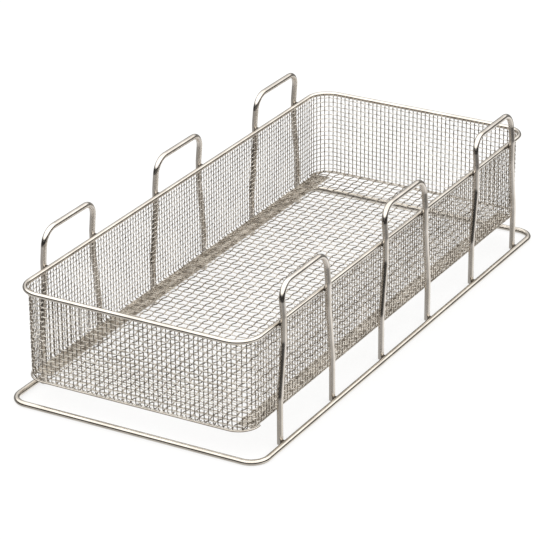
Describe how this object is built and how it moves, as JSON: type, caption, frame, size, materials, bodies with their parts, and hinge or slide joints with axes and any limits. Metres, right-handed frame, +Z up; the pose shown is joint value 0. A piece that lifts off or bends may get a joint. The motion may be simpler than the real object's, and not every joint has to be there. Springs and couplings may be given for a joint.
{
  "type": "autoclave basket",
  "caption": "Long open basket of woven wire mesh in a round-wire frame, with bent hoops along both sides and a wire base loop.",
  "frame": {"origin": "on the ground, below the middle of the base loop", "axes": "+X along the long side of the basket, +Y across it towards the rear hoops, +Z up"},
  "size_m": [0.615, 0.2842, 0.1638],
  "materials": {
    "rim_steel": "electropolished stainless wire, satin sheen",
    "base_steel": "electropolished stainless wire, satin sheen",
    "hoop_steel": "electropolished stainless wire, brighter at the bends",
    "mesh_steel": "fine woven stainless wire",
    "weld_steel": "small darkened weld beads"
  },
  "bodies": {
    "root": {"rim_wire": "rim_steel", "base_loop": "base_steel", "hoop_front_1": "hoop_steel", "hoop_front_2": "hoop_steel", "hoop_front_3": "hoop_steel", "hoop_rear_1": "hoop_steel", "hoop_rear_2": "hoop_steel", "hoop_rear_3": "hoop_steel", "mesh_tray": "mesh_steel", "edge_wire_left": "mesh_steel", "edge_wire_right": "mesh_steel", "rim_welds": "weld_steel", "base_welds": "weld_steel"}
  },
  "joints": []
}
